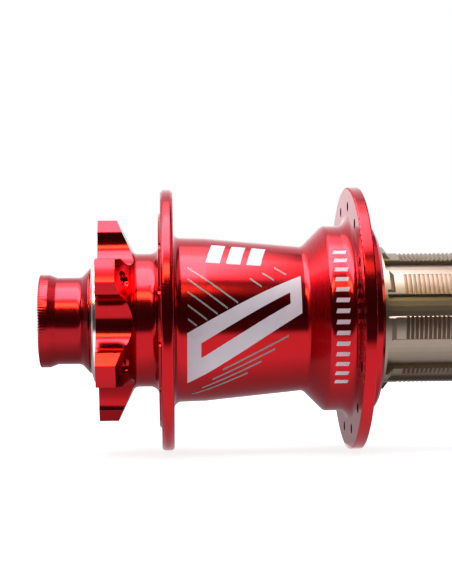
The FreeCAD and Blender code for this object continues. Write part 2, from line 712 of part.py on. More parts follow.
FLANK_ANGLE = 65.9             # degrees from +Y to the steep flank of the tooth that pawl 1 pushes
RAMP_SHARE = 0.94              # share of a tooth pitch that the ramp takes
PAWL_COUNT = 3
PAWL_FOLD = 20.0               # degrees that a pawl folds in from its outermost position
OUTER_ARM = [                  # arm of the top pawl when right out, from its pivot, its tip towards +Y
    (6.2, 2.92),
    (5.53, 1.14),
    (0.44, -1.6),
    (0.0, 0.0),
    (0.975, 1.38),
]
POCKET_FLOOR = [(0.5, -1.78), (6.2, -1.6)]                 # floor of a pawl pocket, from the pivot
POCKET_MOUTH = [(7.3, 0.2), (7.6, 3.0), (0.75, 3.0)]       # the rest of its outline
LEAF_ENDS = (2.2, 5.7)                                     # ends of a leaf spring along the floor


def make_ratchet():
    end = dim.ratchet_start + dim.ratchet_length
    body = ring("ratchet_ring", dim.ratchet_start, end, dim.ratchet_tip_radius, dim.ratchet_radius)
    ramp_end = FLANK_ANGLE + 360.0 / dim.ratchet_teeth.value * RAMP_SHARE
    inside = dim.ratchet_tip_radius - dim.cut_margin

    def tooth_space(sketch):
        draw_polygon(sketch, [
            polar(inside, FLANK_ANGLE),
            polar(dim.ratchet_root_radius, FLANK_ANGLE),
            polar(dim.ratchet_tip_radius, ramp_end),
            polar(inside, ramp_end),
        ])

    cut_round(body, "ratchet_cut", tooth_space, dim.ratchet_start - dim.cut_margin, end + dim.cut_margin,
              dim.ratchet_teeth)


def from_pivot(corners):
    """Corners given from the top pawl's pivot, as coordinates of the cross-section."""
    return [(across, dim.pawl_pivot_radius + up) for across, up in corners]


def folded_arm():
    """The arm swung in about its pivot, so that the tip clears the ratchet ring."""
    swing = math.radians(PAWL_FOLD)
    return [
        (across * math.cos(swing) + up * math.sin(swing), up * math.cos(swing) - across * math.sin(swing))
        for across, up in OUTER_ARM
    ]


def pad_round(body, name, draw, start, length):
    """Pad a cross-section along X from a station."""
    sketch = new_sketch(body, f"{name}_sketch", "YZ_Plane", start)
    draw(sketch)
    pad = body.newObject("PartDesign::Pad", name)
    pad.Profile = sketch
    bind(pad, "Length", length)
    doc.recompute()


def spin_about_axis(item, degrees):
    """Turn a finished body about the hub axis."""
    item.Placement = FreeCAD.Placement(FreeCAD.Vector(), FreeCAD.Rotation(FreeCAD.Vector(1, 0, 0), degrees))


def make_pawls():
    for i in range(PAWL_COUNT):
        name = f"pawl_{i + 1}"
        body = doc.addObject("PartDesign::Body", name)
        body.Label = name

        def arm(sketch):
            draw_polygon(sketch, from_pivot(folded_arm()))

        def heel(sketch):
            draw_circle(sketch, 0, dim.pawl_pivot_radius, dim.pawl_round_radius)

        pad_round(body, f"{name}_arm", arm, dim.pawl_start, dim.pawl_length)
        pad_round(body, f"{name}_heel", heel, dim.pawl_start, dim.pawl_length)
        spin_about_axis(body, 360.0 * i / PAWL_COUNT)
        nodes.append(body)


def make_leaf_springs():
    """Leaf on the floor of each pocket, pressed flat by the folded pawl."""
    (left, low), (right, high) = POCKET_FLOOR
    rise = (high - low) / (right - left)
    floor = [(across, low + rise * (across - left)) for across in LEAF_ENDS]
    top = [(across, dim.leaf_thickness + up) for across, up in reversed(floor)]
    start = dim.pawl_start + dim.leaf_side_gap
    length = dim.pawl_length - dim.leaf_side_gap * 2
    for i in range(PAWL_COUNT):
        name = f"pawl_spring_{i + 1}"
        body = doc.addObject("PartDesign::Body", name)
        body.Label = name

        def strip(sketch):
            draw_polygon(sketch, from_pivot(floor + top))

        pad_round(body, f"{name}_strip", strip, start, length)
        spin_about_axis(body, 360.0 * i / PAWL_COUNT)
        nodes.append(body)


# ---------------------------------------------------------------- freehub

GROOVE_WIDTH_SHARE = 0.9       # mouth of a ring groove, as a share of the pitch
GROOVE_RUNOUT_SHARE = 0.2      # groove profile above the land, as a share of its depth


def make_freehub():
    body = turned("freehub_body", [
        (dim.freehub_start, dim.freehub_inner_bore_radius),
        (dim.freehub_start, dim.freehub_drum_radius),
        (dim.freehub_drum_end, dim.freehub_drum_radius),
        (dim.freehub_drum_end + dim.freehub_chamfer, dim.freehub_seal_land_radius),
        (dim.freehub_flange_start, dim.freehub_seal_land_radius),
        (dim.freehub_flange_start, dim.freehub_flange_radius),
        (dim.freehub_flange_end, dim.freehub_flange_radius),
        (dim.freehub_slope_end, dim.freehub_spline_radius),
        (dim.freehub_end - dim.freehub_chamfer, dim.freehub_spline_radius),
        (dim.freehub_end, dim.freehub_spline_radius - dim.freehub_chamfer),
        (dim.freehub_end, dim.lockring_thread_radius),
        (OUTBOARD_BEARING_END + dim.circlip_thickness, dim.lockring_thread_radius),
        (OUTBOARD_BEARING_END + dim.circlip_thickness, dim.circlip_radius),
        (OUTBOARD_BEARING_END, dim.circlip_radius),
        (OUTBOARD_BEARING_END, dim.freehub_bore_radius),
        (dim.freehub_bearing_start, dim.freehub_bore_radius),
        (dim.freehub_bearing_start, dim.freehub_inner_bore_radius),
    ])
    cut_ring_grooves(body)
    cut_splines(body)
    cut_pawl_pockets(body)


def cut_ring_grooves(body):
    """V-grooves turned round the spline lands before the valleys are cut."""
    half = dim.groove_pitch * GROOVE_WIDTH_SHARE / 2
    outside = dim.freehub_spline_radius + dim.groove_depth * GROOVE_RUNOUT_SHARE

    def vee(sketch):
        draw_polygon(sketch, [
            (dim.groove_start - half, outside),
            (dim.groove_start, dim.freehub_spline_radius - dim.groove_depth),
            (dim.groove_start + half, outside),
        ])

    groove, sketch = groove_round(body, "ring_groove", vee)
    pattern = body.newObject("PartDesign::LinearPattern", "ring_grooves")
    pattern.Originals = [groove]
    pattern.Direction = (sketch, ["H_Axis"])
    bind(pattern, "Length", dim.groove_pitch * (dim.groove_count - 1))
    bind(pattern, "Occurrences", dim.groove_count)
    body.Tip = pattern
    doc.recompute()


def arc(radius, first, last, steps=4):
    """Points along an arc, to be joined by short chords."""
    return [polar(radius, first + (last - first) * i / steps) for i in range(steps + 1)]


def sector(inner, outer, first, last):
    """Outline of a ring sector."""
    return arc(inner, first, last) + arc(outer, last, first)


def cut_splines(body):
    """Valleys between the lands, and one land narrowed as the key."""
    pitch = 360.0 / dim.freehub_splines.value
    first = SPLINE_PHASE + dim.land_angle.value / 2
    last = SPLINE_PHASE + pitch - dim.land_angle.value / 2
    outer = dim.freehub_flange_radius + dim.cut_margin * 2
    below_edge = dim.freehub_spline_radius - dim.land_edge_break
    above_edge = dim.freehub_spline_radius + dim.land_edge_break
    spread = math.degrees(dim.land_edge_break.value * 2 / dim.freehub_spline_radius.value)

    def valley(sketch):
        floor = arc(dim.freehub_floor_radius, first, last)
        rising = [polar(below_edge, last), polar(above_edge, last + spread)]
        roof = arc(outer, last + spread, first - spread)
        falling = [polar(above_edge, first - spread), polar(below_edge, first)]
        draw_polygon(sketch, floor + rising + roof + falling)

    def key(sketch):
        draw_polygon(sketch, sector(dim.freehub_floor_radius, outer, *KEY_CUT))

    end = dim.freehub_end + dim.cut_margin
    cut_round(body, "valleys", valley, dim.freehub_valley_start, end, dim.freehub_splines)
    cut_round(body, "key", key, dim.freehub_valley_start, end)


def cut_pawl_pockets(body):
    start = dim.pawl_start - dim.pawl_side_gap
    end = dim.pawl_start + dim.pawl_length + dim.pawl_side_gap

    def seat(sketch):
        draw_circle(sketch, 0, dim.pawl_pivot_radius, dim.pawl_round_radius + dim.pawl_clearance)

    def mouth(sketch):
        draw_polygon(sketch, from_pivot(POCKET_FLOOR + POCKET_MOUTH))

    cut_round(body, "pawl_seats", seat, start, end, PAWL_COUNT)
    cut_round(body, "pawl_mouths", mouth, start, end, PAWL_COUNT)


def make_mouth_seal():
    """Seal pressed in the mouth of the shell, clear of the freehub by a labyrinth gap."""
    hole = dim.freehub_seal_land_radius + dim.mouth_seal_play
    inner_wall = dim.mouth_seal_start + dim.mouth_seal_wall
    turned("freehub_mouth_seal", [
        (dim.mouth_seal_start, hole),
        (dim.mouth_seal_start, dim.ratchet_radius),
        (dim.mouth_seal_end, dim.ratchet_radius),
        (dim.mouth_seal_end, hole + dim.mouth_seal_lip),
        (inner_wall, hole + dim.mouth_seal_lip / 2),
        (inner_wall, hole),
    ])


def make_circlip():
    body = ring("freehub_circlip", OUTBOARD_BEARING_END, OUTBOARD_BEARING_END + dim.circlip_thickness,
                dim.circlip_inner_radius, dim.circlip_radius)

    def gap(sketch):
        inner = dim.circlip_inner_radius - dim.cut_margin * 4
        outer = dim.circlip_radius + dim.cut_margin
        draw_polygon(sketch, [
            (-dim.circlip_gap, inner),
            (-dim.circlip_gap, outer),
            (dim.circlip_gap, outer),
            (dim.circlip_gap, inner),
        ])

    cut_round(body, "circlip_opening", gap, OUTBOARD_BEARING_END - dim.cut_margin,
              OUTBOARD_BEARING_END + dim.circlip_thickness + dim.cut_margin)


# ---------------------------------------------------------------- build, check, write

def check_document():
    for item in doc.Objects:
        if "Invalid" in item.State or "Error" in item.State:
            raise RuntimeError(f"{item.Label} failed: {item.State}")
    for node in nodes:
        if node.Shape.isNull() or not node.Shape.isValid():
            raise RuntimeError(f"{node.Label} has no valid shape")


def write_nodes():
    os.makedirs("parts", exist_ok=True)
    for node in nodes:
        node.Shape.exportStep(f"parts/{node.Label}.step")
        box = node.Shape.BoundBox
        print(f"{node.Label}: {len(node.Shape.Solids)} solid(s), {node.Shape.Volume:.1f} mm3,"
              f" x {box.XMin:.2f} to {box.XMax:.2f}, radius {box.ZMax:.2f}")


make_axle()
make_disc_side_cap()
make_drive_side_cap()
make_o_ring("disc_side_cap_o_ring", DROPOUT_LEFT + dim.ring_groove_inset)
make_o_ring("drive_side_cap_o_ring", DROPOUT_RIGHT - dim.ring_groove_inset)
make_lip_seal()
make_shell()
make_shield()
make_bearings()
make_spacers()
make_ratchet()
make_pawls()
make_leaf_springs()
make_freehub()
make_mouth_seal()
make_circlip()
doc.recompute()
check_document()
write_nodes()
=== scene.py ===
import bmesh
import bpy
import math
from mathutils import Euler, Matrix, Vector
from mathutils.bvhtree import BVHTree


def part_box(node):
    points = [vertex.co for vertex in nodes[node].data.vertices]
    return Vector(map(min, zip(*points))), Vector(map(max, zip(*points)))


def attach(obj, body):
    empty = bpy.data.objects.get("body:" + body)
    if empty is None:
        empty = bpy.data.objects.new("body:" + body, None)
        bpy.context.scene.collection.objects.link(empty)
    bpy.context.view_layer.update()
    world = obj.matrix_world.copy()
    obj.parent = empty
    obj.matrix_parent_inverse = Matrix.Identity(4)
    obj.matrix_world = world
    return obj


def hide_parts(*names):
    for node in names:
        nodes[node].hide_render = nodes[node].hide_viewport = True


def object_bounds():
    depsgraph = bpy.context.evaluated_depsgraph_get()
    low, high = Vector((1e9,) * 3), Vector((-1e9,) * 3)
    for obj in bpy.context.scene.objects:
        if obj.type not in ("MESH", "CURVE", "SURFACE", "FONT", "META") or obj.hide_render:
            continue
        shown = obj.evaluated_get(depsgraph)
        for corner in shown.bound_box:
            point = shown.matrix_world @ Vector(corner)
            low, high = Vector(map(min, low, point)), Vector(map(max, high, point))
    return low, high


# Rear bicycle hub: the looks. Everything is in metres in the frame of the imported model: X runs
# along the hub axis with the disc side at -X, +Z is up, and the origin is on the hub axis.

MM = 0.001

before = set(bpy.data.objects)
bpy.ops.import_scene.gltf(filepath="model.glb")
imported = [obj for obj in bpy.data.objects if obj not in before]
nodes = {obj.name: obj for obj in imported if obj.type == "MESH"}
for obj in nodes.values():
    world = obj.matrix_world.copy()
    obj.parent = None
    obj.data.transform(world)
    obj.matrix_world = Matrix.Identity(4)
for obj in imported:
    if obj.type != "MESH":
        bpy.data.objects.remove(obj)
cad_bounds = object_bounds()


def low(node):
    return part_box(node)[0]


def high(node):
    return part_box(node)[1]


# ---------------------------------------------------------------- shader helpers


def ramp(tree, source, steps):
    """A grey that follows a list of (place, level) steps."""
    node = tree.nodes.new("ShaderNodeValToRGB")
    elements = node.color_ramp.elements
    while len(elements) < len(steps):
        elements.new(0.5)
    for element, (place, grey) in zip(elements, steps):
        element.position = place
        element.color = (grey, grey, grey, 1)
    tree.links.new(source, node.inputs[0])
    return node.outputs["Color"]


class Shader:
    """A node material with one Principled surface, and short calls that add and join nodes."""

    def __init__(self, name, **surface):
        self.material = bpy.data.materials.new(name)
        self.material.use_nodes = True
        self.tree = self.material.node_tree
        self.surface = self.tree.nodes["Principled BSDF"]
        for socket, value in surface.items():
            self.surface.inputs[socket.replace("_", " ")].default_value = value

    def add(self, kind, **settings):
        node = self.tree.nodes.new(kind)
        for name, value in settings.items():
            setattr(node, name, value)
        return node

    def join(self, source, target):
        self.tree.links.new(source, target)

    def value(self, operation, first, second=0.0):
        """A Math node; its inputs are sockets or numbers."""
        node = self.add("ShaderNodeMath", operation=operation)
        for socket, given in zip(node.inputs, (first, second)):
            if isinstance(given, bpy.types.NodeSocket):
                self.join(given, socket)
            else:
                socket.default_value = given
        return node.outputs[0]

    def position(self):
        """Sockets for x, the distance from the hub axis, and the angle round it."""
        place = self.add("ShaderNodeTexCoord")
        parts = self.add("ShaderNodeSeparateXYZ")
        self.join(place.outputs["Object"], parts.inputs[0])
        x, y, z = parts.outputs
        squares = self.value("ADD", self.value("POWER", y, 2.0), self.value("POWER", z, 2.0))
        radius = self.value("SQRT", squares)
        return x, radius, self.value("ARCTAN2", z, y)

    def noise(self, vector, scale, detail=2.0):
        node = self.add("ShaderNodeTexNoise")
        node.inputs["Scale"].default_value = scale
        node.inputs["Detail"].default_value = detail
        self.join(vector, node.inputs["Vector"])
        return node.outputs["Fac"]

    def vector(self, x, y, z):
        node = self.add("ShaderNodeCombineXYZ")
        for socket, given in zip(node.inputs, (x, y, z)):
            if isinstance(given, bpy.types.NodeSocket):
                self.join(given, socket)
            else:
                socket.default_value = given
        return node.outputs[0]

    def span(self, source, low_end, high_end):
        """Maps 0..1 to low_end..high_end."""
        node = self.add("ShaderNodeMapRange")
        self.join(source, node.inputs["Value"])
        node.inputs["To Min"].default_value = low_end
        node.inputs["To Max"].default_value = high_end
        return node.outputs[0]

    def mix(self, amount, first, second):
        """A colour between two colours."""
        node = self.add("ShaderNodeMix", data_type="RGBA")
        self.join(amount, node.inputs[0])
        node.inputs[6].default_value = first
        node.inputs[7].default_value = second
        return node.outputs[2]

    def bump(self, height, distance, strength=1.0):
        node = self.add("ShaderNodeBump")
        node.inputs["Strength"].default_value = strength
        node.inputs["Distance"].default_value = distance
        self.join(height, node.inputs["Height"])
        self.join(node.outputs[0], self.surface.inputs["Normal"])


def turned_metal(name, colour, tint, roughness, spread, ring_height, **surface):
    """Metal off the lathe: rings follow x and the radius and run unbroken round the axis."""
    shader = Shader(name, Metallic=1.0, **surface)
    x, radius, angle = shader.position()
    rings = shader.noise(shader.vector(x, radius, shader.value("MULTIPLY", angle, 0.0004)), 2600.0, 3.0)
    cloud = shader.add("ShaderNodeTexCoord").outputs["Object"]
    patches = shader.noise(cloud, 160.0, 3.0)
    shader.join(shader.mix(patches, colour, tint), shader.surface.inputs["Base Color"])
    polish = shader.span(rings, roughness - spread, roughness + spread)
    shader.join(polish, shader.surface.inputs["Roughness"])
    shader.bump(rings, ring_height)
    return shader.material


def moulded(name, colour, tint, roughness, grain, **surface):
    """Rubber or plastic with a fine moulded grain."""
    shader = Shader(name, **surface)
    place = shader.add("ShaderNodeTexCoord").outputs["Object"]
    fine = shader.noise(place, 5200.0, 4.0)
    patches = shader.noise(place, 420.0, 2.0)
    shader.join(shader.mix(patches, colour, tint), shader.surface.inputs["Base Color"])
    shader.join(shader.span(fine, roughness - 0.08, roughness + 0.08), shader.surface.inputs["Roughness"])
    shader.bump(fine, grain)
    return shader.material


CONE_START = 1.0 * MM
CONE_END = 6.2 * MM
SHELL_RADIUS = 26.0 * MM
SATIN = 0.12                   # extra roughness of the satin cone
EDGE_TINT = (1.0, 0.55, 0.62, 1)


def red_anodised(name, tone, tint, roughness):
    """Bright red anodising over turning marks; the shell's cone is satin."""
    shader = Shader(name, Metallic=1.0, Coat_Weight=1.0, Coat_Roughness=0.15, Coat_IOR=1.2,
                    Specular_Tint=EDGE_TINT)
    x, radius, angle = shader.position()
    rings = shader.noise(shader.vector(x, radius, shader.value("MULTIPLY", angle, 0.0004)), 5200.0, 3.0)
    patches = shader.noise(shader.add("ShaderNodeTexCoord").outputs["Object"], 160.0, 3.0)
    shader.join(shader.mix(patches, tone, tint), shader.surface.inputs["Base Color"])
    past_start = shader.value("GREATER_THAN", x, CONE_START)
    cone = shader.value("MULTIPLY", past_start, shader.value("LESS_THAN", x, CONE_END))
    cone = shader.value("MULTIPLY", cone, shader.value("LESS_THAN", radius, SHELL_RADIUS))
    polish = shader.span(rings, roughness - 0.025, roughness + 0.025)
    satin = shader.value("ADD", polish, shader.value("MULTIPLY", cone, SATIN))
    shader.join(satin, shader.surface.inputs["Roughness"])
    shader.bump(rings, 0.0000004)
    return shader.material


RED = red_anodised("red_anodised", (0.42, 0.0035, 0.0085, 1), (0.37, 0.0025, 0.0065, 1), 0.15)
# The cap's red is a darker copy of the shell's red: painted shade standing in for the darker floor that the
# cap reflects. The cap is also rougher.
CAP_RED_WITH_PAINTED_SHADE = red_anodised("red_anodised_cap_painted_shade", (0.33, 0.0032, 0.0085, 1), (0.29, 0.0025, 0.0070, 1), 0.20)
SILVER = turned_metal(
    "polished_silver", (0.86, 0.86, 0.85, 1), (0.78, 0.78, 0.77, 1), 0.16, 0.05, 0.000003,
)
CHAMPAGNE = turned_metal(
    "champagne_alloy", (0.30, 0.242, 0.193, 1), (0.255, 0.206, 0.163, 1), 0.34, 0.06, 0.000003,
)
AXLE_ALLOY = turned_metal(
    "axle_alloy", (0.55, 0.55, 0.56, 1), (0.45, 0.45, 0.47, 1), 0.32, 0.08, 0.000004,
)
BEARING_STEEL = turned_metal(
    "bearing_steel", (0.58, 0.57, 0.56, 1), (0.50, 0.49, 0.48, 1), 0.18, 0.05, 0.000001,
)
CHROME = turned_metal(
    "ball_chrome", (0.72, 0.72, 0.73, 1), (0.68, 0.68, 0.69, 1), 0.06, 0.02, 0.0000003,
)
TOOL_STEEL = turned_metal(
    "tool_steel", (0.30, 0.29, 0.28, 1), (0.22, 0.21, 0.20, 1), 0.35, 0.08, 0.000003,
)
SPRING_STEEL = turned_metal(
    "spring_steel", (0.38, 0.38, 0.40, 1), (0.30, 0.28, 0.26, 1), 0.28, 0.06, 0.000002,
)
RUBBER = moulded("black_rubber", (0.012, 0.012, 0.012, 1), (0.025, 0.024, 0.023, 1), 0.5, 0.000006)
SEAL = moulded("grey_seal", (0.20, 0.20, 0.19, 1), (0.26, 0.26, 0.25, 1), 0.5, 0.000005)
BEARING_SEAL = moulded("bearing_seal", (0.016, 0.016, 0.018, 1), (0.03, 0.03, 0.03, 1), 0.45, 0.000005)
CAGE = moulded("cage_polymer", (0.30, 0.20, 0.09, 1), (0.36, 0.25, 0.12, 1), 0.45, 0.000004)

WHITE_INK = moulded("white_ink", (0.50, 0.46, 0.52, 1), (0.55, 0.51, 0.57, 1), 0.42, 0.000002)
GREY_INK = moulded("grey_ink", (0.15, 0.155, 0.155, 1), (0.19, 0.195, 0.195, 1), 0.40, 0.000002)

FINISHES = {
    "red_anodised": RED,
    "polished_silver": SILVER,
    "champagne_alloy": CHAMPAGNE,
    "axle_alloy": AXLE_ALLOY,
    "bearing_steel": BEARING_STEEL,
    "ball_chrome": CHROME,
    "tool_steel": TOOL_STEEL,
    "spring_steel": SPRING_STEEL,
    "black_rubber": RUBBER,
    "grey_seal": SEAL,
    "bearing_seal": BEARING_SEAL,
    "cage_polymer": CAGE,
}


def finish_cad_nodes():
    """Gives every CAD node the detailed material of the slot that it was packed with."""
    for node in nodes.values():
        for place in node.material_slots:
            slot = place.material.name.split(".")[0]
            place.material = FINISHES[slot]


# ---------------------------------------------------------------- mesh helpers


def rounded(corners, steps=5):
    """A closed outline of (station, radius) points from (station, radius, round) corners."""
    outline = []
    count = len(corners)
    for i, (x, r, size) in enumerate(corners):
        corner = Vector((x, r))
        if size == 0.0:
            outline.append(corner)
            continue
        before = (Vector(corners[i - 1][:2]) - corner).normalized()
        after = (Vector(corners[(i + 1) % count][:2]) - corner).normalized()
        half = before.angle(after) / 2
        centre = corner + (before + after).normalized() * (size / math.sin(half))
        start = corner + before * (size / math.tan(half))
        end = corner + after * (size / math.tan(half))
        for k in range(steps + 1):
            mid = (start - centre).normalized().slerp((end - centre).normalized(), k / steps)
            outline.append(centre + mid * size)
    return outline


def new_piece(name, grid, material, body, sharp=32.0):
    """Turns a bmesh into a smooth-shaded piece that rides on a body."""
    bmesh.ops.recalc_face_normals(grid, faces=grid.faces)
    mesh = bpy.data.meshes.new(name)
    grid.to_mesh(mesh)
    grid.free()
    mesh.shade_smooth()
    mesh.set_sharp_from_angle(angle=math.radians(sharp))
    mesh.materials.append(material)
    piece = bpy.data.objects.new(name, mesh)
    bpy.context.scene.collection.objects.link(piece)
    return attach(piece, body)


def lathe(outline, segments, offset=None):
    """A closed outline turned about the hub axis; offset(i, k) moves a point along the axis."""
    grid = bmesh.new()
    rings = []
    for k in range(segments):
        angle = 2 * math.pi * k / segments
        rings.append([
            grid.verts.new((x + (offset(i, k) if offset else 0.0), r * math.cos(angle), r * math.sin(angle)))
            for i, (x, r) in enumerate(outline)
        ])
    for k in range(segments):
        here, there = rings[k], rings[(k + 1) % segments]
        for i in range(len(outline)):
            j = (i + 1) % len(outline)
            grid.faces.new((here[i], here[j], there[j], there[i]))
    return grid


# ---------------------------------------------------------------- end caps

SERRATIONS = 100               # radial teeth that bite the dropout
SERRATION_DEPTH = 0.50 * MM
SERRATION_INNER = 9.4 * MM     # the teeth start here and run out over the rim
SERRATION_REACH = 0.8 * MM     # how far in from the face they shape the rim
LIP_RADIUS = 12.2 * MM
SPLITS = 4                     # mesh segments in one tooth


def serrated_cap(name, node, body, side, neck, flare):
    """End cap: serrated face, rounded lip, neck, and the nose that bears on the inner race.

    Stations run inwards from the dropout face; side is the sign of the face's direction.
    """
    bore = 6.05 * MM
    seat = 8.5 * MM
    face = 0.0
    nose_end = high(node).x - low(node).x
    wall = 7.5 * MM
    ring = 9.2 * MM
    ring_half = 0.88 * MM
    ring_floor = 10.11 * MM
    steps = 10
    face_flat = [(face, SERRATION_INNER + (LIP_RADIUS - 0.6 * MM - SERRATION_INNER) * k / steps, 0.0)
                 for k in range(steps + 1)]
    corners = [
        (face + 0.5 * MM, bore, 0.0),
        (face, bore + 0.5 * MM, 0.0),
        (face, 8.6 * MM, 0.0),
        (face + 0.4 * MM, 8.75 * MM, 0.0),
        (face + 0.4 * MM, SERRATION_INNER - 0.15 * MM, 0.0),
        *face_flat,
        (face, LIP_RADIUS, 0.22 * MM),
        (2.4 * MM, LIP_RADIUS, 0.25 * MM),
        (4.5 * MM, neck, 0.5 * MM),
        *flare,
        (nose_end, seat + 0.2 * MM, 0.0),
        (nose_end - 0.2 * MM, seat, 0.0),
        (ring + ring_half, seat, 0.0),
        (ring + ring_half, ring_floor, 0.0),
        (ring - ring_half, ring_floor, 0.0),
        (ring - ring_half, seat, 0.0),
        (wall, seat, 0.0),
        (wall, bore, 0.0),
    ]
    outline = rounded(corners)
    face_x = low(node).x if side < 0 else high(node).x

    def bite(i, k):
        x, r = outline[i]
        if x > SERRATION_REACH or r < SERRATION_INNER - 0.01 * MM:
            return 0.0
        share = min(1.0, (r - SERRATION_INNER) / (0.6 * MM) + 0.15) * (1.0 - x / SERRATION_REACH)
        phase = (k % SPLITS) / SPLITS
        return SERRATION_DEPTH * share * (1.0 - abs(2.0 * phase - 1.0))

    grid = lathe(outline, SERRATIONS * SPLITS, bite)
    for vert in grid.verts:
        vert.co.x = face_x - side * vert.co.x
    piece = new_piece(name, grid, CAP_RED_WITH_PAINTED_SHADE, body, 38.0)
    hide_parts(node)
    return piece


def end_caps():
    neck = 11.4 * MM
    rim = high("disc_side_end_cap").y
    serrated_cap("disc_side_end_cap_turned", "disc_side_end_cap", "axle_assembly", -1, neck, [
        (10.7 * MM, neck, 1.9 * MM),
        (12.95 * MM, rim - 0.05 * MM, 0.1 * MM),
        (13.1 * MM, rim - 0.1 * MM, 0.0),
        (13.1 * MM, 10.3 * MM, 0.0),
        (high("disc_side_end_cap").x - low("disc_side_end_cap").x, 10.3 * MM, 0.2 * MM),
    ])
    neck = 10.6 * MM
    serrated_cap("drive_side_end_cap_turned", "drive_side_end_cap", "axle_assembly", 1, neck, [
        (12.5 * MM, neck, 0.3 * MM),
        (12.5 * MM, 9.9 * MM, 0.0),
        (high("drive_side_end_cap").x - low("drive_side_end_cap").x, 9.9 * MM, 0.2 * MM),
    ])


# ---------------------------------------------------------------- threads

THREAD_SPLITS = 28             # mesh segments in one turn of a thread
BOLT_CIRCLE_RADIUS = 22.0 * MM
BOLT_HOLES = 6
FIRST_BOLT_ANGLE = 32.0        # degrees from +Y to the first rotor bolt hole
ARM_TIP_RADIUS = 26.45 * MM
ARM_THICKNESS = 5.0 * MM       # at the tip; the back of an arm slopes away from there
ARM_BACK_SLOPE = 4.37 / 8.88   # along the hub for each step towards the axis


def thread_ridges(name, centres, start, end, pitch, crest, root, inside, material, body):
    """Helical ridges in bores parallel to the hub axis, kept where inside(x, radius) is true."""
    grid = bmesh.new()
    half = pitch * 0.42
    count = int((end - start - 2 * half) / pitch * THREAD_SPLITS)
    for y, z in centres:
        last = None
        for k in range(count + 1):
            angle = 2 * math.pi * k / THREAD_SPLITS
            x = start + half + pitch * k / THREAD_SPLITS
            outward = Vector((0.0, math.cos(angle), math.sin(angle)))
            middle = Vector((x, y, z))
            if not inside(x + half, (middle + outward * root).yz.length):
                if last:
                    grid.faces.new(last)
                last = None
                continue
            corners = [(-half, root), (0.0, crest), (half, root)]
            section = [grid.verts.new(middle + Vector((along, 0, 0)) + outward * r) for along, r in corners]
            if last:
                for i in range(3):
                    grid.faces.new((last[i], last[(i + 1) % 3], section[(i + 1) % 3], section[i]))
            else:
                grid.faces.new(section)
            last = section
        if last:
            grid.faces.new(last)
    lone = [vert for vert in grid.verts if len(vert.link_edges) < 3]
    bmesh.ops.delete(grid, geom=lone, context="VERTS")
    piece = new_piece(name, grid, material, body, 40.0)
    return piece


def threads():
    face = low("hub_shell").x
    arm_radius = high("hub_shell").z
    centres = []
    for k in range(BOLT_HOLES):
        angle = math.radians(FIRST_BOLT_ANGLE + 360.0 * k / BOLT_HOLES)
        centres.append((BOLT_CIRCLE_RADIUS * math.cos(angle), BOLT_CIRCLE_RADIUS * math.sin(angle)))
    back = face + ARM_THICKNESS

    def in_arm(x, radius):
        return x < back + (ARM_TIP_RADIUS - radius) * ARM_BACK_SLOPE and radius < arm_radius

    piece = thread_ridges("rotor_hole_threads", centres, face + 0.4 * MM, face + 9.3 * MM, 0.8 * MM,
                          1.9 * MM, 2.13 * MM, in_arm, RED, "shell_assembly")
    end = high("freehub_body").x
    piece = thread_ridges("lockring_thread", [(0.0, 0.0)], end - 5.6 * MM, end - 0.5 * MM, 1.06 * MM,
                          14.45 * MM, 14.83 * MM, lambda x, radius: True, CHAMPAGNE, "freehub_assembly")


# ---------------------------------------------------------------- printed graphics

INK_HEIGHT = 0.045 * MM        # ink above the anodised surface
INK_ROOT = 0.10 * MM           # depth of the ink solid below that surface
NEAR_SIDE = 180.0              # degrees from +Y round to the middle of the printed side
OUTSIDE = 60.0 * MM            # a radius that is clear of the shell


def shell_surface():
    """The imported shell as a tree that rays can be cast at."""
    shell = nodes["hub_shell"]
    corners = [shell.matrix_world @ vert.co for vert in shell.data.vertices]
    return BVHTree.FromPolygons(corners, [face.vertices for face in shell.data.polygons])


def printed(name, quads, surface, material, turns=2):
    """Ink that hugs the shell, repeated evenly round the hub.

    Each quad is four (station, elevation) corners: millimetres along the hub, and degrees above
    the middle of the printed side.
    """
    grid = bmesh.new()
    for turn in range(turns):
        for quad in quads:
            tall = max(rise for x, rise in quad) - min(rise for x, rise in quad)
            wide = max(x for x, rise in quad) - min(x for x, rise in quad)
            across = max(2, round(wide / 0.9))
            along = max(2, round(tall / 2.5))
            layers = ([], [])
            for i in range(across + 1):
                u = i / across
                near = [a + (b - a) * u for a, b in zip(quad[0], quad[1])]
                far = [a + (b - a) * u for a, b in zip(quad[3], quad[2])]
                rows = ([], [])
                for k in range(along + 1):
                    x, rise = [a + (b - a) * k / along for a, b in zip(near, far)]
                    angle = math.radians(NEAR_SIDE - rise + 360.0 * turn / turns)
                    outward = Vector((0.0, math.cos(angle), math.sin(angle)))
                    start = Vector((x * MM, 0.0, 0.0)) + outward * OUTSIDE
                    skin = surface.ray_cast(start, -outward)[0]
                    rows[0].append(grid.verts.new(skin + outward * INK_HEIGHT))
                    rows[1].append(grid.verts.new(skin - outward * INK_ROOT))
                layers[0].append(rows[0])
                layers[1].append(rows[1])
            for rows in layers:
                for i in range(across):
                    for k in range(along):
                        grid.faces.new((rows[i][k], rows[i + 1][k], rows[i + 1][k + 1], rows[i][k + 1]))
            top, root = layers
            rim = [(i, 0) for i in range(across)] + [(across, k) for k in range(along)]
            rim += [(i, along) for i in range(across, 0, -1)] + [(0, k) for k in range(along, 0, -1)]
            for n, (i, k) in enumerate(rim):
                j, m = rim[(n + 1) % len(rim)]
                grid.faces.new((top[i][k], top[j][m], root[j][m], root[i][k]))
    piece = new_piece(name, grid, material, "shell_assembly")
    return piece


def slanted_bar(x, rise, width, height, lean):
    """Corners of a bar whose lower left corner is (x, rise); lean shifts its top along the hub."""
    return [(x, rise), (x + width, rise), (x + width + lean, rise + height), (x + lean, rise + height)]


def stripe(x, rise, length, slope, thickness=1.5):
    """Corners of a pinstripe; slope is in degrees of elevation per millimetre along the hub."""
    end = rise + slope * length
    return [(x, rise), (x + length, end), (x + length, end + thickness), (x, rise + thickness)]


